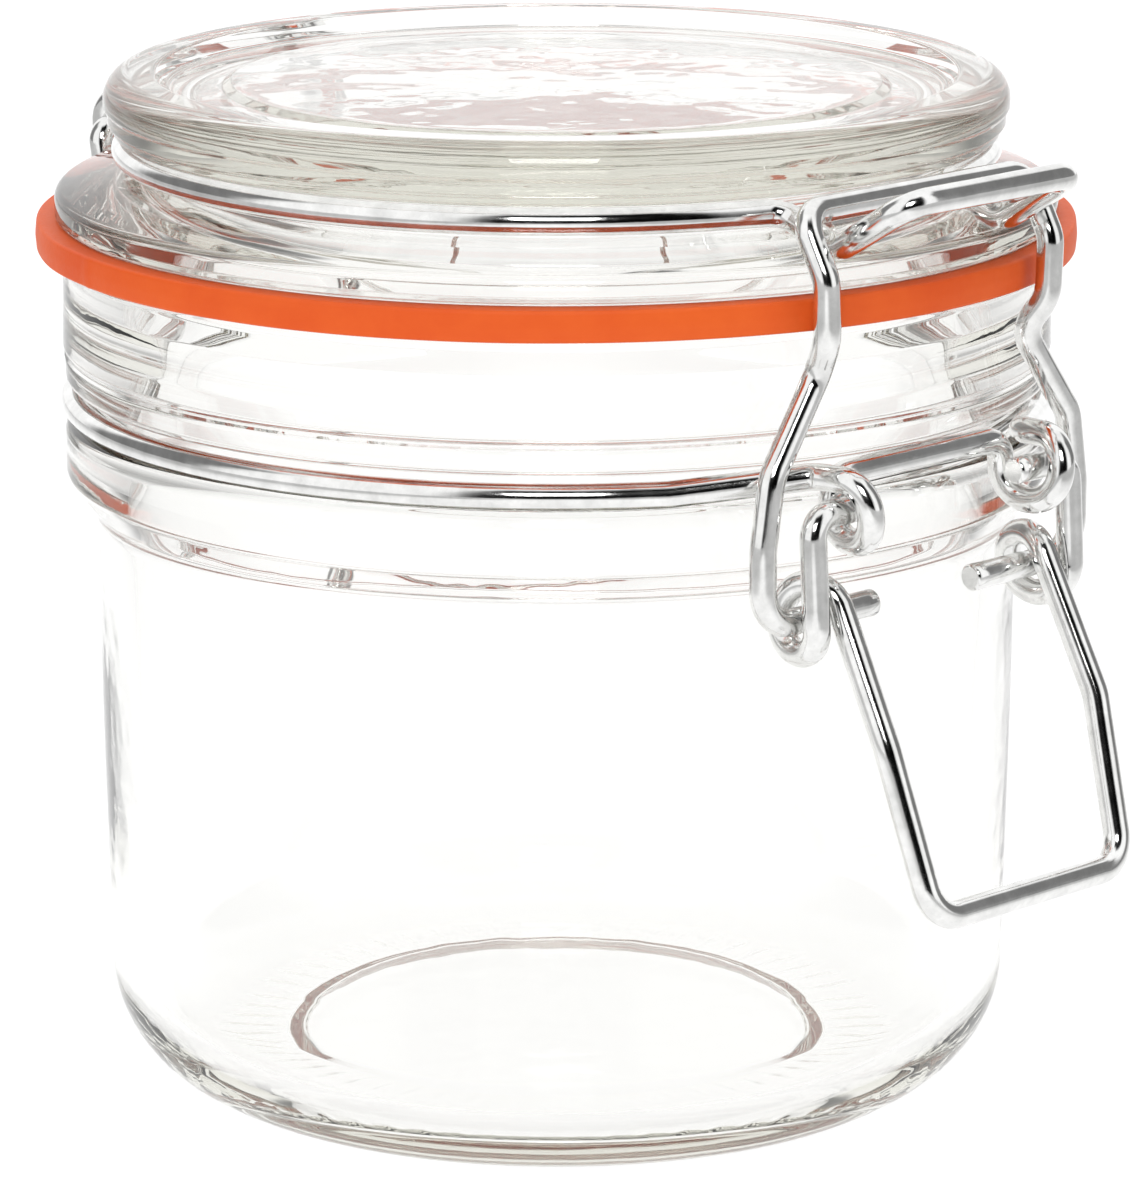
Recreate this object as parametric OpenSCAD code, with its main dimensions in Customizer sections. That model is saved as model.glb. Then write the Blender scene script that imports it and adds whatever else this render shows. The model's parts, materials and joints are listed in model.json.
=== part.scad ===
// Squat clip-top glass jar with a flat rubber seal and a wire bail closure.
// Origin on the jar axis at the base plane, +Z up, closure facing -Y, lid hinge at +Y.

/* [Body] */
// Outer radius of the jar wall below the shoulder
body_r = 42.4; // [41.5:0.1:43]
// How much narrower the wall is at the bottom corner
body_taper = 1.1; // [0.4:0.1:1.6]
// Outer radius of the rounded bottom corner
corner_r = 11.5; // [9:0.5:13]
// Glass thickness of the wall
wall_t = 3.2; // [2.6:0.1:3.6]
// Glass thickness of the bottom
floor_t = 5; // [4:0.5:6]
// Inner radius of the ring that the jar stands on
punt_r = 25; // [22:0.5:27]

/* [Mouth] */
// Height of the flat rim that the seal lies on
rim_z = 78; // [77.8:0.1:78.1]
// Radius of the mouth
mouth_r = 40.2; // [39.9:0.1:40.6]
// Outer radius of the collar under the rim
collar_r = 45.1; // [44.7:0.1:45.2]

/* [Lid] */
// Height of the top of the lid
lid_top_z = 94; // [93.6:0.1:94.6]
// Outer radius of the rounded cap
cap_r = 41.1; // [40.8:0.1:41.4]
// Outer radius of the flange above the seal
flange_r = 45.6; // [45.2:0.1:45.7]
// Outer radius of the plug that enters the mouth
plug_r = 39; // [38.4:0.1:39.2]

/* [Seal] */
// Outer radius of the rubber ring
seal_r = 47.5; // [47:0.1:47.6]
// Thickness of the rubber ring
seal_t = 2.8; // [2.6:0.05:2.9]

/* [Wire] */
// Diameter of the steel wire
wire_d = 2.4; // [2.2:0.05:2.45]
// Radius of the wire ring in the lid groove
lid_ring_r = 39.2; // [39.2:0.05:39.4]
// Height of the wire ring in the lid groove
lid_ring_z = 87; // [86.9:0.05:87.1]
// Radius of the wire ring round the neck
neck_ring_r = 44.2; // [44.2:0.05:44.4]
// Height of the wire ring round the neck
neck_ring_z = 64.2; // [64.1:0.05:64.4]

/* [Closure] */
// Distance of the lever pivot in front of the jar axis
pivot_y = 47.7; // [47.6:0.05:47.9]
// Height of the lever pivot
pivot_z = 62.7; // [62.6:0.05:62.9]
// Distance of the link pivot in front of the jar axis
link_y = 45.4; // [45.3:0.05:45.6]
// Height of the link pivot
link_z = 53.2; // [53:0.1:53.4]
// Distance of the lid hinge behind the jar axis
hinge_y = 48.7; // [48.6:0.05:48.9]
// Height of the lid hinge
hinge_z = 84; // [83.9:0.05:84.1]

/* [Hidden] */
// Segments round a wire, and round the turned glass and rubber
$fn = 48;
turned_fn = 128;

glass = [0.86, 0.93, 0.9, 0.4];
rubber = [0.92, 0.38, 0.12];
steel = [0.79, 0.8, 0.81];

wire_r = wire_d / 2;
// Straight wire runs on a little into each bend, which is finer by a hair, so that the two join cleanly
lap = 0.05;
bend_wire_r = wire_r - 0.01;
// Curls round a pin are bent a little tighter than their path, to leave a short straight between them
eye_ease = 0.1;
coil_ease = 0.04;
knuckle_ease = 0.05;

// Free space between the seal and the glass, and how far a cut reaches past the face that it opens
gap = 0.1;
over = 1;
seal_z = rim_z + gap;
flange_z = seal_z + seal_t + gap / 2;
front = -1;
back = 1;

// Angle at which each wire ring is left, measured from the front or the back towards the side
neck_turn = 36;
lid_turn = 24;

// Mean radii of the curls round the lever pin, the link pin and the hinge bar
eye_r = 2.9;
coil_r = 2.9;
knuckle_r = 2.5;

function unit(v) = v / norm(v);
// Tangent length of a bend of radius r at the corner b between a and c
function reach(a, b, c, r) = r * tan(acos(unit(b - a) * unit(c - b)) / 2);
// Corner points of a curl round (y, z) that turns from angle a0 to a1, shifting from x0 to x1
function curl_points(y, z, r, a0, a1, x0, x1, n) = [
    for (i = [0:n - 1])
        let (
            step = (a1 - a0) / n,
            middle = i + 1 / 2,
            a = a0 + middle * step,
            far = r / cos(step / 2)
        )
        [x0 + (x1 - x0) * middle / n, y - far * cos(a), z + far * sin(a)]
];
// Point where a wire ring of radius r is left, tangent to it, for the lateral place x
function leave_ring(r, turn, x, z, end) =
    let (d = (r * sin(turn) - x) / cos(turn))
    [x, end * (r * cos(turn) + d * sin(turn)), z];
function ring_point(r, turn, z, end) = [r * sin(turn), end * r * cos(turn), z];

// Wires that are the same on both sides: the points of one side, and the bends, are mirrored
function mirror_points(p) = concat([for (i = [len(p) - 1:-1:0]) [-p[i].x, p[i].y, p[i].z]], p);
function mirror_list(r) = concat([for (i = [len(r) - 1:-1:0]) r[i]], r);

// A straight piece of wire from a to b
module rod(a, b) {
    steep = 0.9;
    w = unit(b - a);
    foot = a - w * lap;
    side = abs(w.z) < steep ? [0, 0, 1] : [1, 0, 0];
    u = unit(cross(side, w));
    v = cross(w, u);
    multmatrix([
        [u.x, v.x, w.x, foot.x],
        [u.y, v.y, w.y, foot.y],
        [u.z, v.z, w.z, foot.z],
        [0, 0, 0, 1]
    ])
        cylinder(r = wire_r, h = norm(b - a) + 2 * lap);
}

// A bend of radius r at the corner b between a and c
module bend(a, b, c, r) {
    u = unit(b - a);
    v = unit(c - b);
    inward = unit(v - u * (u * v));
    m = b - u * reach(a, b, c, r) + inward * r;
    w = cross(-inward, u);
    multmatrix([
        [-inward.x, u.x, w.x, m.x],
        [-inward.y, u.y, w.y, m.y],
        [-inward.z, u.z, w.z, m.z],
        [0, 0, 0, 1]
    ])
        rotate_extrude(angle = acos(u * v))
            translate([r, 0])
                circle(bend_wire_r);
}

// A round wire through the points p, with a bend of radius r[i] at each inner point
module wire(p, r) {
    last = len(p) - 1;
    cut = [for (i = [0:last]) i == 0 || i == last ? 0 : reach(p[i - 1], p[i], p[i + 1], r[i])];
    for (i = [0:last - 1]) {
        d = unit(p[i + 1] - p[i]);
        rod(p[i] + d * cut[i], p[i + 1] - d * cut[i + 1]);
    }
    for (i = [1:last - 1])
        bend(p[i - 1], p[i], p[i + 1], r[i]);
}

module both_sides() {
    children();
    mirror([1, 0, 0])
        children();
}

// The side arc of a wire ring, between the front and the back turn
module ring_side(r, z, turn) {
    translate([0, 0, z])
        rotate([0, 0, turn - 90])
            rotate_extrude(angle = 180 - 2 * turn)
                translate([r, 0])
                    circle(bend_wire_r);
}

module disc_2d(r, z, radius) {
    translate([r, z])
        circle(radius);
}

module box_2d(r0, r1, z0, z1) {
    translate([r0, z0])
        square([r1 - r0, z1 - z0]);
}

// Turns the right half of a drawn section round the Z axis
module turned() {
    rotate_extrude($fn = turned_fn)
        intersection() {
            children();
            box_2d(0, 2 * seal_r, 0, 2 * lid_top_z);
        }
}

module jar_outline() {
    low_r = body_r - body_taper;
    shoulder_z = 54;
    neck_r = 42.9;
    bead_r = 2.2;
    bead_z = 60.6;
    bead_middle = 42.8;
    lip_r = 0.9;
    lip_z = 67;
    lip_middle = 44;
    collar_z = 68.4;
    edge = 1.2;
    // wall and rounded bottom corner
    box_2d(0, low_r - corner_r, 0, corner_r);
    disc_2d(low_r - corner_r, corner_r, corner_r);
    polygon([
        [0, corner_r],
        [low_r, corner_r],
        [body_r, shoulder_z],
        [bead_middle, bead_z],
        [0, bead_z]
    ]);
    // shoulder bead under the neck wire
    disc_2d(bead_middle, bead_z, bead_r);
    // neck behind the wire, with the small bead above it
    box_2d(0, neck_r, bead_z, rim_z - edge);
    disc_2d(lip_middle, lip_z, lip_r);
    box_2d(0, lip_middle, lip_z - lip_r, lip_z + lip_r);
    // collar and rim
    box_2d(0, collar_r, collar_z + edge, rim_z - edge);
    box_2d(0, collar_r - edge, collar_z, rim_z);
    disc_2d(collar_r - edge, collar_z + edge, edge);
    disc_2d(collar_r - edge, rim_z - edge, edge);
}

module jar_hollow() {
    inner_r = body_r - body_taper - wall_t;
    inner_corner = corner_r - wall_t + 2;
    neck_in_r = 39.4;
    neck_low_z = 54;
    neck_high_z = 70;
    mouth_low_z = 74;
    box_2d(-over, inner_r - inner_corner, floor_t, floor_t + inner_corner);
    disc_2d(inner_r - inner_corner, floor_t + inner_corner, inner_corner);
    polygon([
        [-over, floor_t + inner_corner],
        [inner_r, floor_t + inner_corner],
        [neck_in_r, neck_low_z],
        [neck_in_r, neck_high_z],
        [mouth_r, mouth_low_z],
        [mouth_r, rim_z + over],
        [-over, rim_z + over]
    ]);
}

module glass_jar() {
    punt_h = 1.6;
    punt_step = 0.8;
    color(glass)
        turned()
            difference() {
                jar_outline();
                jar_hollow();
                // hollow under the bottom, inside the standing ring
                box_2d(-over, punt_r, -over, punt_h - punt_step);
                box_2d(-over, punt_r - punt_step, -over, punt_h);
            }
}

module lid_outline() {
    plug_low_z = 75.6;
    groove_r = lid_ring_r - wire_r - gap;
    groove_low_z = 85.4;
    cap_low_z = lid_ring_z + wire_r + 2 * gap;
    cap_edge = 2.3;
    step_in = 0.9;
    step_h = 0.8;
    flange_top = 83.4;
    flange_edge = 0.9;
    slope_r = 40.2;
    slope_z = 84.8;
    // plug and neck of the lid
    box_2d(0, plug_r, plug_low_z, flange_z);
    box_2d(0, groove_r, flange_z, cap_low_z + over);
    // flange with its sloping top
    polygon([
        [0, flange_z],
        [flange_r, flange_z],
        [flange_r, flange_top - flange_edge],
        [flange_r - flange_edge, flange_top],
        [slope_r, slope_z],
        [groove_r, groove_low_z],
        [0, groove_low_z]
    ]);
    disc_2d(flange_r - flange_edge, flange_top - flange_edge, flange_edge);
    // cap: a stepped lower edge under the rounded rim
    box_2d(0, cap_r - step_in, cap_low_z, lid_top_z - cap_edge);
    box_2d(0, cap_r - step_in / 2, cap_low_z + step_h, lid_top_z - cap_edge);
    disc_2d(cap_r - cap_edge, lid_top_z - cap_edge, cap_edge);
    box_2d(0, cap_r - cap_edge, cap_low_z, lid_top_z);
}

// Shallow dish in the top of the lid, round a flat central disc
module lid_dish() {
    dish_depth = 1.5;
    dish_r = 36.5;
    dish_slope = 1.4;
    disc_r = 29.5;
    disc_slope = 0.8;
    disc_h = 0.5;
    dish_z = lid_top_z - dish_depth;
    polygon([
        [disc_r, dish_z + disc_h],
        [disc_r + disc_slope, dish_z],
        [dish_r - dish_slope, dish_z],
        [dish_r, lid_top_z + over],
        [-over, lid_top_z + over],
        [-over, dish_z + disc_h]
    ]);
}

// Hollow inside the plug of the lid
module lid_hollow() {
    hollow_r = 34.5;
    draft = 0.6;
    hollow_z = 88.4;
    corner = 1.5;
    open_z = 74;
    polygon([
        [-over, open_z],
        [hollow_r + draft, open_z],
        [hollow_r, hollow_z - corner],
        [hollow_r - corner, hollow_z],
        [-over, hollow_z]
    ]);
}

module glass_lid() {
    color(glass)
        turned()
            difference() {
                lid_outline();
                lid_dish();
                lid_hollow();
            }
}

module sealing_ring() {
    hole_r = 40;
    color(rubber)
        translate([0, 0, seal_z])
            difference() {
                cylinder(r = seal_r, h = seal_t, $fn = turned_fn);
                translate([0, 0, -over])
                    cylinder(r = hole_r, h = seal_t + 2 * over, $fn = turned_fn);
            }
}

module lid_wire() {
    // raised hook, and the crook behind it that the link's bar pulls on
    hook = [10.6, -53, 89.6];
    hook_bend = 2.4;
    crook = [10.5, -44.8, 84.55];
    crook_bend = 2.8;
    leave_x = 10.3;
    leave_bend = 2.4;
    // knuckle curled round the hinge bar
    knuckle_far = hinge_y + knuckle_r;
    knuckle_near = hinge_y - knuckle_r;
    knuckle_top = hinge_z + knuckle_r;
    knuckle_low = hinge_z - knuckle_r;
    knuckle_bend = knuckle_r - knuckle_ease;
    end_h = 0.2;
    color(steel) {
        wire(mirror_points([
            hook,
            crook,
            leave_ring(lid_ring_r, lid_turn, leave_x, lid_ring_z, front),
            ring_point(lid_ring_r, lid_turn, lid_ring_z, front)
        ]), mirror_list([hook_bend, crook_bend, leave_bend, 0]));
        both_sides() {
            ring_side(lid_ring_r, lid_ring_z, lid_turn);
            wire([
                ring_point(lid_ring_r, lid_turn, lid_ring_z, back),
                leave_ring(lid_ring_r, lid_turn, leave_x, lid_ring_z, back),
                [leave_x, knuckle_far, knuckle_top],
                [leave_x, knuckle_far, knuckle_low],
                [leave_x, knuckle_near, knuckle_low],
                [leave_x, knuckle_near, hinge_z + end_h]
            ], [0, leave_bend, knuckle_bend, knuckle_bend, knuckle_bend, 0]);
        }
    }
}

module neck_wire() {
    // front bar between the two eyes
    bar_x = 10.7;
    bar_h = 2.3;
    bar_bend = 2.1;
    // each eye round a lever pin opens outwards as it turns
    eye_near = -pivot_y + eye_r;
    eye_far = -pivot_y - eye_r;
    eye_low = pivot_z - eye_r;
    eye_top = pivot_z + eye_r;
    eye_bend = eye_r - eye_ease;
    eye_in_x = 11;
    eye_mid_x = 11.8;
    eye_out_x = 12.7;
    // way back to the ring
    return_x = 13.3;
    return_z = 65.4;
    return_bend = 2;
    join = ring_point(neck_ring_r, neck_turn, neck_ring_z, front);
    join_run = 3;
    join_bend = 15;
    // posts up to the hinge bar
    post_x = 13;
    post_bend = 1.4;
    post_foot_bend = 2.4;
    color(steel) {
        wire(mirror_points([
            [bar_x, eye_near, pivot_z + bar_h],
            [eye_in_x, eye_near, eye_low],
            [eye_mid_x, eye_far, eye_low],
            [eye_out_x, eye_far, eye_top],
            leave_ring(neck_ring_r, neck_turn, return_x, return_z, front),
            join - join_run * [cos(neck_turn), sin(neck_turn), 0],
            join
        ]), mirror_list([bar_bend, eye_bend, eye_bend, eye_bend, return_bend, join_bend, 0]));
        both_sides()
            ring_side(neck_ring_r, neck_ring_z, neck_turn);
        wire(mirror_points([
            [post_x, hinge_y, hinge_z],
            leave_ring(neck_ring_r, neck_turn, post_x, neck_ring_z, back),
            ring_point(neck_ring_r, neck_turn, neck_ring_z, back)
        ]), mirror_list([post_bend, post_foot_bend, 0]));
    }
}

module clamp_lever() {
    grip = [12.2, -58.5, 28.5];
    grip_bend = 3.2;
    knee = [13.5, -54, 43];
    knee_bend = 7;
    // coil round the link pin, from the knee to the lever pivot, front is 0 degrees
    to_knee = [-knee.y - link_y, knee.z - link_z];
    to_pivot = [pivot_y - link_y, pivot_z - link_z];
    coil_start = atan2(to_knee.y, to_knee.x) + acos(coil_r / norm(to_knee));
    coil_end = 360 + atan2(to_pivot.y, to_pivot.x) - acos(coil_r / norm(to_pivot));
    coil_in_x = 13.2;
    coil_out_x = 16.4;
    corners = 4;
    coil = curl_points(-link_y, link_z, coil_r, coil_start, coil_end, coil_in_x, coil_out_x, corners);
    coil_bend = coil_r - coil_ease;
    // pin that turns in the neck wire's eye
    pin_end_x = 9.2;
    pin_bend = 2;
    color(steel)
        wire(mirror_points([
            grip,
            knee,
            each coil,
            [coil_out_x, -pivot_y, pivot_z],
            [pin_end_x, -pivot_y, pivot_z]
        ]), mirror_list([grip_bend, knee_bend, coil_bend, coil_bend, coil_bend, coil_bend, pin_bend, 0]));
}

module clamp_link() {
    // bar that lies in the lid wire's crook
    bar = [14.3, -44.1, 88.2];
    bar_bend = 2.4;
    // legs pass outside the seal, draw in over the collar and spread again to the feet
    bow = [14.3, -47.1, 82.8];
    bow_bend = 3;
    waist = [14.1, -47.1, 77.6];
    waist_bend = 4;
    tuck = [13.1, -45.1, 74.4];
    tuck_bend = 3;
    spread_x = 19;
    spread_z = 66.2;
    spread_bend = 4;
    leg_x = 20;
    leg_z = 60;
    leg_bend = 6;
    foot_bend = 3.4;
    pin_end_x = 6.3;
    color(steel)
        wire(mirror_points([
            bar,
            bow,
            waist,
            tuck,
            [spread_x, -link_y, spread_z],
            [leg_x, -link_y, leg_z],
            [leg_x, -link_y, link_z],
            [pin_end_x, -link_y, link_z]
        ]), mirror_list([bar_bend, bow_bend, waist_bend, tuck_bend, spread_bend, leg_bend, foot_bend, 0]));
}

glass_jar();
glass_lid();
sealing_ring();
lid_wire();
neck_wire();
clamp_lever();
clamp_link();
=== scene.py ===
"""A squat clip-top glass jar: pressed glass body and lid, orange rubber seal and four bent steel wires."""
import json
import math

import bpy
import numpy as np
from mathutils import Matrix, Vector, noise


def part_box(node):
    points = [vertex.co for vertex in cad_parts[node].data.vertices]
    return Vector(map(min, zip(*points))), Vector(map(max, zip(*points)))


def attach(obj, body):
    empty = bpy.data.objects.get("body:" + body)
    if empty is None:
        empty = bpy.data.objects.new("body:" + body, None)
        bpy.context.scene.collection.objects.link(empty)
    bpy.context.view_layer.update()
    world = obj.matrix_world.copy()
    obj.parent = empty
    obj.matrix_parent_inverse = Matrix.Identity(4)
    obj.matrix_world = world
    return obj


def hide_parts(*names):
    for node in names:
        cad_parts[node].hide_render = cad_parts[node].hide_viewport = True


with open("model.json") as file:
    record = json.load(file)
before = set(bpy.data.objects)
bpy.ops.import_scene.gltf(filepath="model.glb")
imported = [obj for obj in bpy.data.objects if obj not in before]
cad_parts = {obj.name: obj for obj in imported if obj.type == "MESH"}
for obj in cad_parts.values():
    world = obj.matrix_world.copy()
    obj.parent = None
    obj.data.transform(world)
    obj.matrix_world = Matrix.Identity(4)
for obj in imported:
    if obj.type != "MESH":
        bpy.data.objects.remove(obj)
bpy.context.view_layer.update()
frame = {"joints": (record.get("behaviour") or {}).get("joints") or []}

MM = 0.001
JOINTS = {joint["name"]: Vector(joint["pos_m"]) / MM for joint in frame["joints"]}


def box_mm(node):
    """Lowest and highest corner of a CAD node, in millimetres."""
    low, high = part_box(node)
    return low / MM, high / MM


# ---------------------------------------------------------------- sizes, in millimetres
RIM_Z = box_mm("glass_jar")[1].z
LID_TOP_Z = box_mm("glass_lid")[1].z
SEAL_R = box_mm("sealing_ring")[1].x
SEAL_LOW_Z = box_mm("sealing_ring")[0].z
SEAL_TOP_Z = box_mm("sealing_ring")[1].z
BODY_R = 42.4
BODY_TAPER = 1.1
CORNER_R = 11.5
WALL = 3.2
FLOOR_Z = 5.0
INNER_CORNER_R = 6.3
PUNT_R = 25.0
MOUTH_R = 40.2
NECK_R = 42.9
COLLAR_R = 45.1
BEAD_R = 45.0
CAP_R = 41.1
DISH_DEPTH = 1.5
FLANGE_R = 45.6
PLUG_R = 39.0
WIRE_R = 1.2
LID_RING_R = 39.2
LID_RING_Z = 87.0
NECK_RING_R = 44.2
NECK_RING_Z = 64.2
LID_TURN = math.radians(24)
NECK_TURN = math.radians(36)
HINGE = JOINTS["lid_hinge"]
LEVER_PIN = JOINTS["lever_pivot"]
LINK_PIN = JOINTS["link_pivot"]


# The clamp at its right-hand side: the lid wire's hook and crook, and the link's bar
HOOK = (10.6, -53, 89.6)
CROOK = (10.5, -44.8, 84.55)
BAR = (14.3, -44.1, 88.2)

# How finely shapes are made, and the smallest length and turn that count
WIRE_SIDES = 28
WIRE_STEP = 1.5
GLASS_STEP = 1.6
ARC_STEP = math.radians(6)
RING_STEPS = 90
COIL_STEPS = 56
TINY = 1e-6
STRAIGHT = 1e-3

# The camera: its turn round the jar and how far it looks down, in degrees, its place, in metres, and its
# lens and sensor, in millimetres
CAMERA_TURN = -44.5
CAMERA_PITCH = 14.005
CAMERA_AWAY = 0.56
CAMERA_ASIDE = 0.0009
CAMERA_HEIGHT = 0.18388
CAMERA_LENS = 187.1
CAMERA_SENSOR = 36

# Dark cards round the jar, in degrees: middle direction, half width, lower edge, upper edge, how dark
CAMERA_SIDE = 270 + CAMERA_TURN
FLAGS = [
    (CAMERA_SIDE + 12, 28, -4, 60, 1.0),
    (CAMERA_SIDE - 110, 17, 0, 44, 0.8),
    (CAMERA_SIDE + 110, 17, 0, 44, 0.8),
]
FLAG_SOFTNESS = math.radians(14)
WORLD_LEVEL = 1.1

# The fan of painted light and shade on the table's colour and glow, laid out from the camera's place: the
# slopes where it starts and stops fading to the side, how light the rest stays, and the least distance from
# the camera that is counted.
# It also fades towards the camera's side, between two distances from the jar's axis, in metres
FAN_START = 0.11
FAN_STOP = 0.55
FAN_REST = 0.5
FAN_NEAREST = 0.25
FAN_NEAR_START = 0.30
FAN_NEAR_STOP = 0.75
TABLE_HALF = 3.0
TABLE_DROP = 0.0002
# The floor's grey and its painted glow, both scaled by the painted fan: the floor shines though it is no lamp
TABLE_GREY = 0.15
TABLE_PAINTED_GLOW = 0.96


# ---------------------------------------------------------------- shape helpers
def rounded(points):
    """An outline through the points (x, y, bend radius) or (x, y, z, bend radius), each corner an arc."""
    corners = [np.array(p[:-1], float) for p in points]
    line = [corners[0]]
    for a, b, c, radius in zip(corners, corners[1:], corners[2:], [p[-1] for p in points[1:-1]]):
        u = (b - a) / np.linalg.norm(b - a)
        v = (c - b) / np.linalg.norm(c - b)
        turn = math.acos(max(-1.0, min(1.0, float(u @ v))))
        if radius <= 0 or turn < STRAIGHT:
            line.append(b)
            continue
        start = b - u * radius * math.tan(turn / 2)
        inward = v - u * (u @ v)
        inward /= np.linalg.norm(inward)
        count = max(2, math.ceil(turn / ARC_STEP))
        for i in range(count + 1):
            t = turn * i / count
            line.append(start + radius * (u * math.sin(t) + inward * (1 - math.cos(t))))
    line.append(corners[-1])
    return line


def divided(line, longest):
    """The same line with no step longer than the given length."""
    out = [line[0]]
    for a, b in zip(line, line[1:]):
        length = np.linalg.norm(b - a)
        if length < TINY:
            continue
        count = max(1, math.ceil(length / longest))
        out += [a + (b - a) * i / count for i in range(1, count + 1)]
    return out


def new_mesh(name, vertices, faces):
    """A smooth-shaded mesh object in the scene, its vertices in metres."""
    mesh = bpy.data.meshes.new(name)
    mesh.from_pydata([tuple(v) for v in vertices], [], faces)
    mesh.validate()
    obj = bpy.data.objects.new(name, mesh)
    bpy.context.scene.collection.objects.link(obj)
    mesh.polygons.foreach_set("use_smooth", [True] * len(mesh.polygons))
    mesh.update()
    return obj


def band(low, high, turns):
    """The faces between two rings of vertex numbers. A ring of one vertex is a point on the axis."""
    faces = []
    for i in range(turns):
        j = (i + 1) % turns
        if len(low) == 1:
            faces.append((low[0], high[j], high[i]))
        elif len(high) == 1:
            faces.append((low[i], low[j], high[0]))
        else:
            faces.append((low[i], low[j], high[j], high[i]))
    return faces


def lathe(name, outline, turns, shape):
    """Turns an outline of (radius, height) round the Z axis, then moves each point with shape.

    An outline that starts on the axis ends on it too. Any other is closed.
    """
    vertices = []
    rings = []
    for r, z in outline:
        if r < TINY:
            rings.append([len(vertices)])
            vertices.append((0, 0, z))
            continue
        rings.append(list(range(len(vertices), len(vertices) + turns)))
        for i in range(turns):
            a = 2 * math.pi * i / turns
            vertices.append((r * math.cos(a), r * math.sin(a), z))
    pairs = list(zip(rings, rings[1:]))
    if outline[0][0] > TINY:
        pairs.append((rings[-1], rings[0]))
    faces = [face for low, high in pairs for face in band(low, high, turns)]
    return new_mesh(name, np.array([shape(*v) for v in vertices]) * MM, faces)


def carried_sides(line, closed):
    """The tangent at each point of a line, and a side direction carried along it without turning."""
    count = len(line)
    tangents = []
    for i in range(count):
        if closed:
            before, after = line[i - 1], line[(i + 1) % count]
        else:
            before, after = line[max(i - 1, 0)], line[min(i + 1, count - 1)]
        tangents.append((after - before) / np.linalg.norm(after - before))
    nearly_upright = 0.9
    side = np.cross(tangents[0], (0, 0, 1) if abs(tangents[0][2]) < nearly_upright else (1, 0, 0))
    side /= np.linalg.norm(side)
    sides = [side]
    for t in tangents[1:]:
        side = side - t * (side @ t)
        side /= np.linalg.norm(side)
        sides.append(side)
    return tangents, sides


def closing_turn(tangents, sides):
    """How far the carried side is turned when a closed line comes back to its start."""
    last = sides[-1] - tangents[0] * (sides[-1] @ tangents[0])
    last /= np.linalg.norm(last)
    cross = np.cross(last, sides[0])
    return math.atan2(float(cross @ tangents[0]), float(last @ sides[0]))


def wire_sections(line, radius, closed):
    """The sections of a wire: place, tangent, side, radius, turn about the tangent, distance along it."""
    swell, swell_scale, swell_seed = 0.012, 0.35, (7.3, 1.9)
    tangents, sides = carried_sides(line, closed)
    whole_turn = closing_turn(tangents, sides) if closed else 0.0
    lengths = [np.linalg.norm(b - a) for a, b in zip(line, line[1:])]
    travel = np.concatenate([[0], np.cumsum(lengths)])
    sections = []
    for p, t, s, distance in zip(line, tangents, sides, travel):
        r = radius * (1 + swell * noise.noise(Vector((distance * swell_scale, *swell_seed))))
        sections.append((p, t, s, r, whole_turn * distance / travel[-1], distance))
    return sections


def cut_ends(sections):
    """The same sections with a small chamfer at both cut ends of the wire."""
    chamfer = 0.22
    p, t, s, r, turn, start = sections[0]
    q, u, w, k, last_turn, length = sections[-1]
    between = [section for section in sections[1:-1] if chamfer < section[-1] < length - chamfer]
    return (
        [(p, t, s, r - chamfer, turn, start), (p + t * chamfer, t, s, r, turn, start)]
        + between
        + [(q - u * chamfer, u, w, k, last_turn, length), (q, u, w, k - chamfer, last_turn, length)]
    )


def tube(name, line, radius, closed=False):
    """A round wire along a line of points. The attribute wire_place runs along it and round it."""
    round_scale = 6
    sections = wire_sections([np.array(p, float) for p in line], radius, closed)
    if not closed:
        sections = cut_ends(sections)
    vertices = []
    places = []
    for p, t, s, r, turn, distance in sections:
        other = np.cross(t, s)
        for k in range(WIRE_SIDES):
            a = 2 * math.pi * k / WIRE_SIDES + turn
            vertices.append(p + r * (s * math.cos(a) + other * math.sin(a)))
            places.append((distance, round_scale * k / WIRE_SIDES, 0))
    rows = len(sections)
    faces = []
    for i in range(rows if closed else rows - 1):
        for k in range(WIRE_SIDES):
            n = (k + 1) % WIRE_SIDES
            j = (i + 1) % rows
            faces.append((i * WIRE_SIDES + k, i * WIRE_SIDES + n, j * WIRE_SIDES + n, j * WIRE_SIDES + k))
    if not closed:
        faces.append(tuple(reversed(range(WIRE_SIDES))))
        faces.append(tuple((rows - 1) * WIRE_SIDES + k for k in range(WIRE_SIDES)))
    obj = new_mesh(name, np.array(vertices) * MM, faces)
    for polygon in obj.data.polygons:
        if polygon.loop_total > 4:
            polygon.use_smooth = False
    layer = obj.data.attributes.new("wire_place", "FLOAT_VECTOR", "POINT")
    layer.data.foreach_set("vector", np.array(places, np.float32).ravel())
    return obj


def mirrored_line(half):
    """The left-hand half of a line, then the right-hand half that is given."""
    return [np.array((-p[0], p[1], p[2])) for p in reversed(half)] + list(half)


def ring_arc(radius, z, turn):
    """The side of a wire ring, from the front turn (-Y) round to the back turn (+Y)."""
    sweep = math.pi - 2 * turn
    angles = [-math.pi / 2 + turn + sweep * i / RING_STEPS for i in range(RING_STEPS + 1)]
    return [np.array((radius * math.cos(a), radius * math.sin(a), z)) for a in angles]


def ring_point(radius, turn, z, back):
    """Where a wire ring ends at a turn from the Y axis: in front with back = -1, behind with back = 1."""
    return (radius * math.sin(turn), back * radius * math.cos(turn), z)


def leave_ring(radius, turn, x, z, back):
    """Where a straight run that leaves the ring along its tangent reaches the place x."""
    d = (radius * math.sin(turn) - x) / math.cos(turn)
    return (x, back * (radius * math.cos(turn) + d * math.sin(turn)), z)


# ---------------------------------------------------------------- glass
def wavy(amount, scale, seed):
    """Moves points in and out a little, as pressed glass does. The noise is smooth and always the same."""
    stretch_up = 0.6
    still_r = 6

    def shape(x, y, z):
        r = math.hypot(x, y)
        if r < TINY:
            return x, y, z
        n = noise.noise(Vector((x * scale, y * scale, z * scale * stretch_up + seed)))
        fade = min(1.0, r / still_r)
        k = 1 + amount * fade * n / r
        return x * k, y * k, z

    return shape


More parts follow.
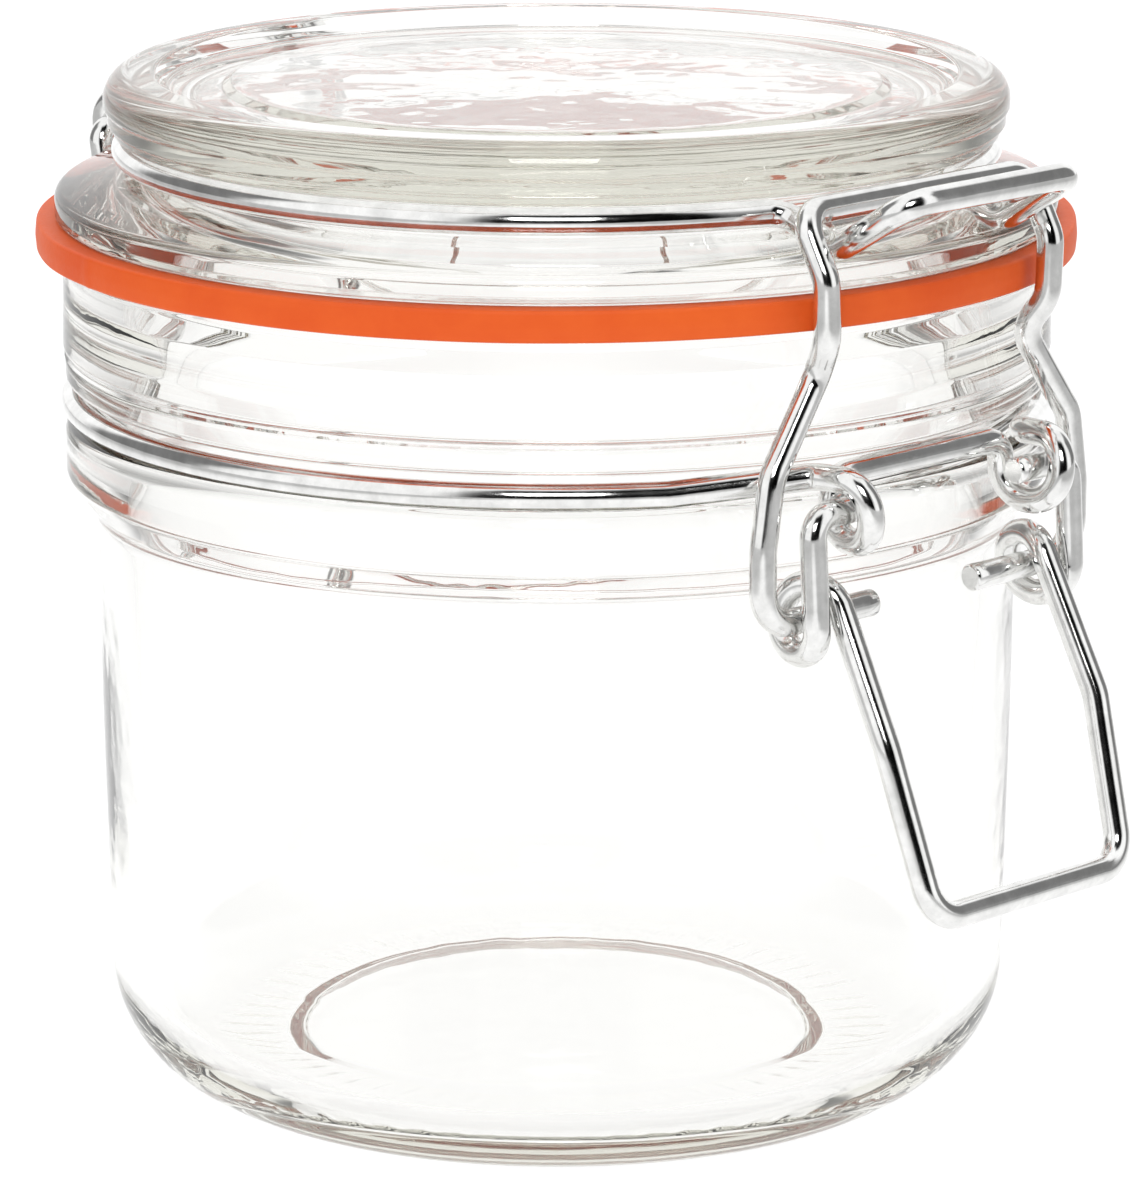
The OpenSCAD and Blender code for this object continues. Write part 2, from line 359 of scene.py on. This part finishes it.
def jar_outline():
    """The jar's outline from under the base, up the outside and down the inside.

    Each point is (radius, height, bend radius).
    """
    low_r = BODY_R - BODY_TAPER
    inner_low_r = low_r - WALL
    inner_neck_r = 39.4
    punt_z, punt_slope = 1.6, 1.4
    shoulder_z, bead_low_z, bead_top_z = 54.2, 57.5, 62.8
    ledge_r, ledge_low_z, ledge_top_z = 44.9, 66.0, 68.4
    outside = rounded([
        (0, punt_z, 0),
        (PUNT_R - punt_slope, punt_z, 1.2),
        (PUNT_R, 0, 0.7),
        (low_r + 0.1, 0, CORNER_R),
        (BODY_R - 0.25, 45, 30),
        (BODY_R, shoulder_z, 3.5),
        (BEAD_R, bead_low_z, 1.8),
        (BEAD_R, bead_top_z, 1.6),
        (NECK_R, bead_top_z, 0.8),
        (NECK_R, ledge_low_z, 0.4),
        (ledge_r, ledge_low_z, 0.8),
        (ledge_r, ledge_top_z, 0.6),
        (ledge_r - 0.5, ledge_top_z + 0.1, 0.3),
        (COLLAR_R, 69.2, 0.8),
        (COLLAR_R - 0.2, RIM_Z, 1.2),
        (MOUTH_R, RIM_Z, 0.8),
        (MOUTH_R, 74, 1.5),
        (inner_neck_r, 70, 3),
        (inner_neck_r, 55, 12),
        (inner_low_r, 16, 20),
        (inner_low_r - 0.1, FLOOR_Z, INNER_CORNER_R),
        (0, FLOOR_Z, 0),
    ])
    return divided(outside, GLASS_STEP)


def heel_dashes(shape):
    """Adds the ring of short radial dashes pressed into the jar's heel."""
    count, low_r, high_r, depth = 60, 26.2, 31.8, 0.10
    highest_z = 2.4

    def with_dashes(x, y, z):
        r = math.hypot(x, y)
        if z < highest_z and low_r < r < high_r:
            across = math.sin(math.pi * (r - low_r) / (high_r - low_r))
            wave = math.cos(count * math.atan2(y, x))
            z += depth * across * max(0.0, wave)
        return shape(x, y, z)

    return with_dashes


def lid_outline():
    """The lid's outline from its underside, round the plug, flange, groove and cap to the disc on top.

    Each point is (radius, height, bend radius).
    """
    groove_r = LID_RING_R - WIRE_R - 0.1
    groove_low_z = 85.5
    cap_low_z = LID_RING_Z + WIRE_R + 0.2
    dish_r, disc_r = 35.1, 29.5
    dish_z = LID_TOP_Z - DISH_DEPTH
    disc_z = dish_z + 0.5
    under_z, plug_low_z, plug_inner_r = 88.4, 75.6, 35.1
    flange_z = SEAL_TOP_Z + 0.05
    outline = rounded([
        (0, under_z, 0),
        (plug_inner_r - 0.6, under_z, 2.2),
        (plug_inner_r, plug_low_z, 0.9),
        (PLUG_R, plug_low_z, 1.2),
        (PLUG_R, flange_z, 0.4),
        (FLANGE_R, flange_z, 0.4),
        (FLANGE_R, 83.4, 1.0),
        (LID_RING_R + 1.2, 84.9, 1.2),
        (groove_r, groove_low_z, 0.5),
        (groove_r, cap_low_z, 0.5),
        (CAP_R - 0.9, cap_low_z, 0.5),
        (CAP_R - 0.75, 89.2, 0.25),
        (CAP_R - 0.35, 89.5, 0.25),
        (CAP_R - 0.3, 90.6, 0.25),
        (CAP_R, 91.0, 0.4),
        (CAP_R, LID_TOP_Z, 2.3),
        (dish_r + 1.4, LID_TOP_Z, 0.7),
        (dish_r, dish_z, 1.2),
        (disc_r + 0.8, dish_z, 0.4),
        (disc_r, disc_z, 0.4),
        (0, disc_z, 0),
    ])
    return divided(outline, GLASS_STEP)


def lid_shape(x, y, z):
    """The lid's pressed glass: soft waves, and a slightly uneven disc on top."""
    uneven_r, fade_width = 29, 3
    r = math.hypot(x, y)
    x, y, z = wavy(0.10, 0.09, 40.0)(x, y, z)
    if z > LID_TOP_Z - DISH_DEPTH - 0.1 and r < uneven_r:
        fade = min(1.0, (uneven_r - r) / fade_width)
        for height, scale, seed in ((0.018, 0.12, 3.0), (0.008, 0.35, 9.0)):
            z += height * fade * noise.noise(Vector((x * scale, y * scale, seed)))
    return x, y, z


def make_glass():
    """The glass of the jar and of the lid."""
    jar_turns, lid_turns = 432, 320
    jar = lathe("jar_glass", jar_outline(), jar_turns, heel_dashes(wavy(0.12, 0.07, 0.0)))
    lid = lathe("lid_glass", lid_outline(), lid_turns, lid_shape)
    return jar, lid


# ---------------------------------------------------------------- rubber seal
def make_seal():
    """The flat rubber ring. Its free outer edge is a little wavy, with a faint moulding seam on two sides."""
    inner_r = 40.0
    middle_z = (SEAL_LOW_Z + SEAL_TOP_Z) / 2
    edge_in = 0.15
    free_r = 45.7
    lift_height, edge_wave = 0.06, 0.12
    seam_height, seam_width = 0.10, 0.5
    turns = 480
    outline = divided(rounded([
        (inner_r, middle_z, 0),
        (inner_r, SEAL_TOP_Z, 0.3),
        (SEAL_R - edge_in, SEAL_TOP_Z, 0.35),
        (SEAL_R - 0.02, middle_z, 3),
        (SEAL_R - edge_in, SEAL_LOW_Z, 0.35),
        (inner_r, SEAL_LOW_Z, 0.3),
        (inner_r, middle_z - 0.1, 0),
    ]), 0.8)
    seams = [math.radians(165), math.radians(-15)]

    def shape(x, y, z):
        r = math.hypot(x, y)
        if r <= free_r:
            return x, y, z
        a = math.atan2(y, x)
        lift = lift_height * noise.noise(Vector((x * 0.05, y * 0.05, 21.0)))
        out = edge_wave * noise.noise(Vector((x * 0.11, y * 0.11, 33.0))) - edge_wave
        for seam in seams:
            off = math.atan2(math.sin(a - seam), math.cos(a - seam)) * r
            out += seam_height * math.exp(-(off / seam_width) ** 2)
        k = 1 + out / r
        return x * k, y * k, z + lift

    return lathe("seal_rubber", outline, turns, shape)


# ---------------------------------------------------------------- wires
def lid_wire_line():
    """The hook in front, the ring in the lid's groove, and the two knuckles round the hinge bar behind."""
    k = 2.5
    bend = k - 0.05
    top, low = HINGE.z + k, HINGE.z - k
    far, near = HINGE.y + k, HINGE.y - k
    x = 10.3
    ring = (LID_RING_R, LID_TURN)
    front = [
        (0, *HOOK[1:], 0),
        (*HOOK, 2.4),
        (*CROOK, 2.8),
        (*leave_ring(*ring, x, LID_RING_Z, -1), 2.4),
        (*ring_point(*ring, LID_RING_Z, -1), 0),
    ]
    back = [
        (*ring_point(*ring, LID_RING_Z, 1), 0),
        (*leave_ring(*ring, x, LID_RING_Z, 1), 2.4),
        (x, far, top, bend),
        (x, far, low, bend),
        (x, near, low, bend),
        (x, near, HINGE.z + 0.2, 0),
    ]
    half = rounded(front) + ring_arc(LID_RING_R, LID_RING_Z, LID_TURN)[1:-1] + rounded(back)
    return divided(mirrored_line(half[1:]), WIRE_STEP)


def neck_wire_line():
    """The two eyes for the lever in front, the ring round the neck, and the hinge bar behind."""
    e = 2.9
    bend = e - 0.1
    near, far = LEVER_PIN.y + e, LEVER_PIN.y - e
    low, top = LEVER_PIN.z - e, LEVER_PIN.z + e
    bridge_z = LEVER_PIN.z + 2.3
    hinge_x = 13
    run_in = 3
    ring = (NECK_RING_R, NECK_TURN)
    joined = np.array(ring_point(*ring, NECK_RING_Z, -1))
    before = joined - run_in * np.array((math.cos(NECK_TURN), math.sin(NECK_TURN), 0))
    front = [
        (0, near, bridge_z, 0),
        (10.7, near, bridge_z, 2.1),
        (11, near, low, bend),
        (11.8, far, low, bend),
        (12.7, far, top, bend),
        (*leave_ring(*ring, 13.3, 65.4, -1), 2),
        (*before, 15),
        (*joined, 0),
    ]
    back = [
        (*ring_point(*ring, NECK_RING_Z, 1), 0),
        (*leave_ring(*ring, hinge_x, NECK_RING_Z, 1), 2.4),
        (hinge_x, HINGE.y, HINGE.z, 1.4),
        (0, HINGE.y, HINGE.z, 0),
    ]
    half = rounded(front) + ring_arc(NECK_RING_R, NECK_RING_Z, NECK_TURN)[1:-1] + rounded(back)
    return divided(mirrored_line(half[1:-1]), WIRE_STEP)


def lever_line():
    """The long loop that is pulled, the two coils that hold the link, and the two pin ends."""
    r = 2.9
    inner_x, outer_x, pin_x = 13.2, 16.4, 9.2
    knee = (13.5, -54, 43)
    grip_x, grip_y, grip_z = 12.2, -58.5, 28.5
    to_knee = np.array((LINK_PIN.y - knee[1], knee[2] - LINK_PIN.z))
    to_pivot = np.array((LINK_PIN.y - LEVER_PIN.y, LEVER_PIN.z - LINK_PIN.z))
    start = math.atan2(to_knee[1], to_knee[0]) + math.acos(r / np.linalg.norm(to_knee))
    end = 2 * math.pi + math.atan2(to_pivot[1], to_pivot[0]) - math.acos(r / np.linalg.norm(to_pivot))
    coil = []
    for i in range(COIL_STEPS + 1):
        t = i / COIL_STEPS
        a = start + (end - start) * t
        x = inner_x + (outer_x - inner_x) * t
        coil.append(np.array((x, LINK_PIN.y - r * math.cos(a), LINK_PIN.z + r * math.sin(a))))
    grip = rounded([(0, grip_y, grip_z, 0), (grip_x, grip_y, grip_z, 3.2), (*knee, 7), (*coil[0], 0)])
    pin = rounded([(*coil[-1], 0), (outer_x, *LEVER_PIN[1:], 2), (pin_x, *LEVER_PIN[1:], 0)])
    return divided(mirrored_line(grip[1:-1] + coil + pin[1:]), WIRE_STEP)


def link_line():
    """The bar inside the hook, the two bowed legs, and the two feet in the lever's coils."""
    x, wide, y, z = BAR[0], 20.0, LINK_PIN.y, LINK_PIN.z
    foot_x = 6.3
    outer_y = BAR[1] - 3
    half = rounded([
        (0, *BAR[1:], 0),
        (*BAR, 2.4),
        (x, outer_y, 82.8, 3),
        (x - 0.2, outer_y, 77.6, 4),
        (x - 1.2, outer_y + 2, 74.4, 3),
        (wide - 1, y, 66.2, 4),
        (wide, y, 60, 6),
        (wide, y, z, 3.4),
        (foot_x, y, z, 0),
    ])
    return divided(mirrored_line(half[1:]), WIRE_STEP)


def make_wires():
    """The four wires by the name of the CAD node that each replaces."""
    radius = WIRE_R - 0.01
    return {
        "lid_wire": tube("lid_wire_steel", lid_wire_line(), radius),
        "neck_wire": tube("neck_wire_steel", neck_wire_line(), radius, closed=True),
        "clamp_lever": tube("lever_steel", lever_line(), radius),
        "clamp_link": tube("link_steel", link_line(), radius),
    }


# ---------------------------------------------------------------- materials
def new_material(name, **values):
    """A Principled material. Each value is set straight on the shader's own socket."""
    material = bpy.data.materials.new(name)
    material.use_nodes = True
    shader = material.node_tree.nodes["Principled BSDF"]
    for socket, value in values.items():
        shader.inputs[socket.replace("_", " ")].default_value = value
    return material, material.node_tree, shader


def node(tree, kind, **values):
    """A new node. Each value goes to its input of that name, or else to its setting of that name."""
    made = tree.nodes.new(kind)
    for key, value in values.items():
        if key in made.inputs.keys():
            made.inputs[key].default_value = value
        else:
            setattr(made, key, value)
    return made


def set_ramp(ramp, low, low_colour, high, high_colour):
    """Sets a colour ramp's two ends: a position and a colour each."""
    for element, position, colour in zip(ramp.color_ramp.elements, (low, high), (low_colour, high_colour)):
        element.position = position
        element.color = colour


def glass_material():
    """Clear pressed glass with a faint warm tint in its depth and very shallow waves."""
    material, tree, shader = new_material(
        "clear_glass", Base_Color=(0.998, 0.998, 0.995, 1), Roughness=0.0, IOR=1.48,
        Transmission_Weight=1.0,
    )
    depth = node(tree, "ShaderNodeVolumeAbsorption", Color=(0.68, 0.67, 0.58, 1), Density=15.0)
    tree.links.new(depth.outputs["Volume"], tree.nodes["Material Output"].inputs["Volume"])
    place = node(tree, "ShaderNodeTexCoord")
    waves = node(tree, "ShaderNodeTexNoise", Scale=140.0, Detail=2.0, Roughness=0.5)
    bump = node(tree, "ShaderNodeBump", Strength=0.05, Distance=0.0004)
    tree.links.new(place.outputs["Object"], waves.inputs["Vector"])
    tree.links.new(waves.outputs["Fac"], bump.inputs["Height"])
    tree.links.new(bump.outputs["Normal"], shader.inputs["Normal"])
    return material


def rubber_material():
    """Matte orange rubber with soft clouds of colour and a fine grain."""
    material, tree, shader = new_material("orange_rubber", IOR=1.5, Specular_IOR_Level=0.3)
    place = node(tree, "ShaderNodeTexCoord")
    clouds = node(tree, "ShaderNodeTexNoise", Scale=90.0, Detail=5.0, Roughness=0.6)
    grain = node(tree, "ShaderNodeTexNoise", Scale=2600.0, Detail=3.0, Roughness=0.6)
    colour = node(tree, "ShaderNodeValToRGB")
    set_ramp(colour, 0.3, (0.88, 0.105, 0.010, 1), 0.72, (0.98, 0.150, 0.018, 1))
    rough = node(tree, "ShaderNodeMapRange")
    rough.inputs["To Min"].default_value = 0.42
    rough.inputs["To Max"].default_value = 0.62
    bump = node(tree, "ShaderNodeBump", Strength=0.25, Distance=0.00006)
    for source in (clouds, grain):
        tree.links.new(place.outputs["Object"], source.inputs["Vector"])
    tree.links.new(clouds.outputs["Fac"], colour.inputs["Fac"])
    tree.links.new(colour.outputs["Color"], shader.inputs["Base Color"])
    tree.links.new(grain.outputs["Fac"], rough.inputs["Value"])
    tree.links.new(rough.outputs["Result"], shader.inputs["Roughness"])
    tree.links.new(grain.outputs["Fac"], bump.inputs["Height"])
    tree.links.new(bump.outputs["Normal"], shader.inputs["Normal"])
    return material


def steel_material():
    """Bright drawn steel, with fine lines along the wire and slightly duller spots."""
    material, tree, shader = new_material("bright_steel", Metallic=1.0, IOR=2.5)
    place = node(tree, "ShaderNodeAttribute", attribute_name="wire_place")
    object_place = node(tree, "ShaderNodeTexCoord")
    stretch = node(tree, "ShaderNodeMapping")
    stretch.inputs["Scale"].default_value = (0.12, 9.0, 1.0)
    drawn = node(tree, "ShaderNodeTexNoise", Scale=1.0, Detail=4.0, Roughness=0.6)
    spots = node(tree, "ShaderNodeTexNoise", Scale=420.0, Detail=4.0, Roughness=0.65)
    colour = node(tree, "ShaderNodeValToRGB")
    set_ramp(colour, 0.25, (0.70, 0.70, 0.69, 1), 0.7, (0.92, 0.92, 0.91, 1))
    rough = node(tree, "ShaderNodeMapRange")
    rough.inputs["To Min"].default_value = 0.05
    rough.inputs["To Max"].default_value = 0.17
    bump = node(tree, "ShaderNodeBump", Strength=0.12, Distance=0.00005)
    tree.links.new(place.outputs["Vector"], stretch.inputs["Vector"])
    tree.links.new(stretch.outputs["Vector"], drawn.inputs["Vector"])
    tree.links.new(object_place.outputs["Object"], spots.inputs["Vector"])
    tree.links.new(spots.outputs["Fac"], colour.inputs["Fac"])
    tree.links.new(colour.outputs["Color"], shader.inputs["Base Color"])
    tree.links.new(spots.outputs["Fac"], rough.inputs["Value"])
    tree.links.new(rough.outputs["Result"], shader.inputs["Roughness"])
    tree.links.new(drawn.outputs["Fac"], bump.inputs["Height"])
    tree.links.new(bump.outputs["Normal"], shader.inputs["Normal"])
    return material


# ---------------------------------------------------------------- stage
def math_node(tree, operation, *inputs):
    """A maths node. Each input is a number or the output of another node."""
    made = node(tree, "ShaderNodeMath", operation=operation)
    for socket, value in zip(made.inputs, inputs):
        if isinstance(value, bpy.types.NodeSocket):
            tree.links.new(value, socket)
        else:
            socket.default_value = value
    return made.outputs[0]


def fade_out(tree, value, start, end):
    """Goes smoothly from 1 to 0 while the value goes from start to end."""
    made = node(tree, "ShaderNodeMapRange", interpolation_type="SMOOTHSTEP")
    tree.links.new(value, made.inputs["Value"])
    made.inputs["From Min"].default_value = start
    made.inputs["From Max"].default_value = end
    made.inputs["To Min"].default_value = 1.0
    made.inputs["To Max"].default_value = 0.0
    return made.outputs["Result"]


def turned_axes(tree, split, azimuth):
    """How far a point lies along a level direction, and to the left of it."""
    turn = math.radians(azimuth)
    x, y = split.outputs["X"], split.outputs["Y"]
    along = math_node(tree, "ADD", math_node(tree, "MULTIPLY", x, math.cos(turn)),
                      math_node(tree, "MULTIPLY", y, math.sin(turn)))
    aside = math_node(tree, "SUBTRACT", math_node(tree, "MULTIPLY", y, math.cos(turn)),
                      math_node(tree, "MULTIPLY", x, math.sin(turn)))
    return along, aside


def painted_light_fan(tree, split):
    """How much painted light the table gets at a place: 1 within the fan, fading to FAN_REST outside it."""
    towards, aside = turned_axes(tree, split, CAMERA_SIDE)
    away = math_node(tree, "MAXIMUM", math_node(tree, "SUBTRACT", CAMERA_AWAY, towards), FAN_NEAREST)
    spread = math_node(tree, "DIVIDE", math_node(tree, "ABSOLUTE", aside), away)
    inside = fade_out(tree, spread, FAN_START, FAN_STOP)
    beyond = fade_out(tree, towards, FAN_NEAR_START, FAN_NEAR_STOP)
    fan = math_node(tree, "MULTIPLY", inside, beyond)
    return math_node(tree, "ADD", math_node(tree, "MULTIPLY", fan, 1 - FAN_REST), FAN_REST)


def make_stage():
    """A pale table with a painted glow, brightest in a painted fan that opens away from the camera's place,
    with painted dimness on both sides of it.
    """
    half = TABLE_HALF
    corners = [(-half, -half, 0), (half, -half, 0), (half, half, 0), (-half, half, 0)]
    floor = new_mesh("floor", corners, [(0, 1, 2, 3)])
    floor.location.z = -TABLE_DROP
    material, tree, shader = new_material(
        "pale_floor_painted_light", Roughness=0.6, Specular_IOR_Level=0.1, Emission_Color=(1, 1, 1, 1),
    )
    place = node(tree, "ShaderNodeTexCoord")
    split = node(tree, "ShaderNodeSeparateXYZ")
    tree.links.new(place.outputs["Object"], split.inputs["Vector"])
    painted_fan_level = painted_light_fan(tree, split)
    # The fan paints light and shade into the floor's colour and its glow
    tree.links.new(math_node(tree, "MULTIPLY", painted_fan_level, TABLE_GREY), shader.inputs["Base Color"])
    tree.links.new(math_node(tree, "MULTIPLY", painted_fan_level, TABLE_PAINTED_GLOW), shader.inputs["Emission Strength"])
    floor.data.materials.append(material)


def make_world():
    """Soft white studio light from all round, with dark flags behind the camera and beside the jar."""
    world = bpy.data.worlds.new("studio")
    bpy.context.scene.world = world
    world.use_nodes = True
    tree = world.node_tree

    def within(value, centre, half, soft):
        """1 where value lies inside centre +- half, falling to 0 over the soft distance."""
        off = math_node(tree, "ABSOLUTE", math_node(tree, "SUBTRACT", value, centre))
        return fade_out(tree, off, half, half + soft)

    place = node(tree, "ShaderNodeTexCoord")
    split = node(tree, "ShaderNodeSeparateXYZ")
    tree.links.new(place.outputs["Generated"], split.inputs["Vector"])
    up = math_node(tree, "ARCSINE", split.outputs["Z"])

    def flag(azimuth, half_width, low, high, depth):
        """How much light a dark card takes away: its middle's direction, half width, lower and upper edge."""
        along, aside = turned_axes(tree, split, azimuth)
        off = math_node(tree, "ARCTAN2", aside, along)
        middle, half = math.radians((low + high) / 2), math.radians((high - low) / 2)
        sideways = within(off, 0.0, math.radians(half_width), FLAG_SOFTNESS)
        upright = within(up, middle, half, FLAG_SOFTNESS)
        return math_node(tree, "MULTIPLY", math_node(tree, "MULTIPLY", sideways, upright), depth)

    light = 1.0
    for values in FLAGS:
        light = math_node(tree, "MULTIPLY", light, math_node(tree, "SUBTRACT", 1.0, flag(*values)))
    background = tree.nodes["Background"]
    tree.links.new(math_node(tree, "MULTIPLY", light, WORLD_LEVEL), background.inputs["Strength"])
    background.inputs["Color"].default_value = (1, 1, 1, 1)


def make_key_light():
    """One soft square lamp, behind the camera and above it."""
    place, aim, size, power = (-0.9, -0.9, 0.9), (0, 0, 0.05), 0.5, 6
    lamp = bpy.data.lights.new("key", "AREA")
    lamp.shape = "RECTANGLE"
    lamp.size, lamp.size_y = size, size
    lamp.energy = power
    obj = bpy.data.objects.new("key", lamp)
    bpy.context.scene.collection.objects.link(obj)
    obj.location = place
    obj.rotation_euler = (Vector(aim) - Vector(place)).to_track_quat("-Z", "Y").to_euler()


def make_camera():
    """The camera stands in front of the jar to its left and looks down a little, through a long lens."""
    azimuth = math.radians(CAMERA_TURN)
    pitch = math.radians(CAMERA_PITCH)
    camera = bpy.data.cameras.new("camera")
    camera.lens = CAMERA_LENS
    camera.sensor_width = CAMERA_SENSOR
    obj = bpy.data.objects.new("camera", camera)
    bpy.context.scene.collection.objects.link(obj)
    right = Vector((math.cos(azimuth), math.sin(azimuth), 0))
    outward = Vector((math.sin(azimuth), -math.cos(azimuth), 0))
    obj.location = outward * CAMERA_AWAY + right * CAMERA_ASIDE
    obj.location.z = CAMERA_HEIGHT
    obj.rotation_euler = (math.pi / 2 - pitch, 0, azimuth)
    bpy.context.scene.camera = obj


# ---------------------------------------------------------------- building
def place(obj, body, cad_node, slot, material):
    """Gives a piece its material and its body, and hides the CAD node that it replaces. The slot argument is
    not used.
    """
    obj.data.materials.append(material)
    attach(obj, body)
    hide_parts(cad_node)


glass, rubber, steel = glass_material(), rubber_material(), steel_material()
jar_glass, lid_glass = make_glass()
place(jar_glass, "jar", "glass_jar", "clear_glass", glass)
place(lid_glass, "lid", "glass_lid", "clear_glass", glass)
place(make_seal(), "lid", "sealing_ring", "orange_rubber", rubber)
wires = make_wires()
wire_bodies = {"lid_wire": "lid", "neck_wire": "jar", "clamp_lever": "lever", "clamp_link": "link"}
for cad_node, body in wire_bodies.items():
    place(wires[cad_node], body, cad_node, "bright_steel", steel)

make_stage()
make_world()
make_key_light()
make_camera()
bpy.context.scene.view_settings.view_transform = "Standard"
bpy.context.scene.cycles.max_bounces = 32
bpy.context.scene.cycles.glossy_bounces = 20
bpy.context.scene.cycles.transmission_bounces = 28
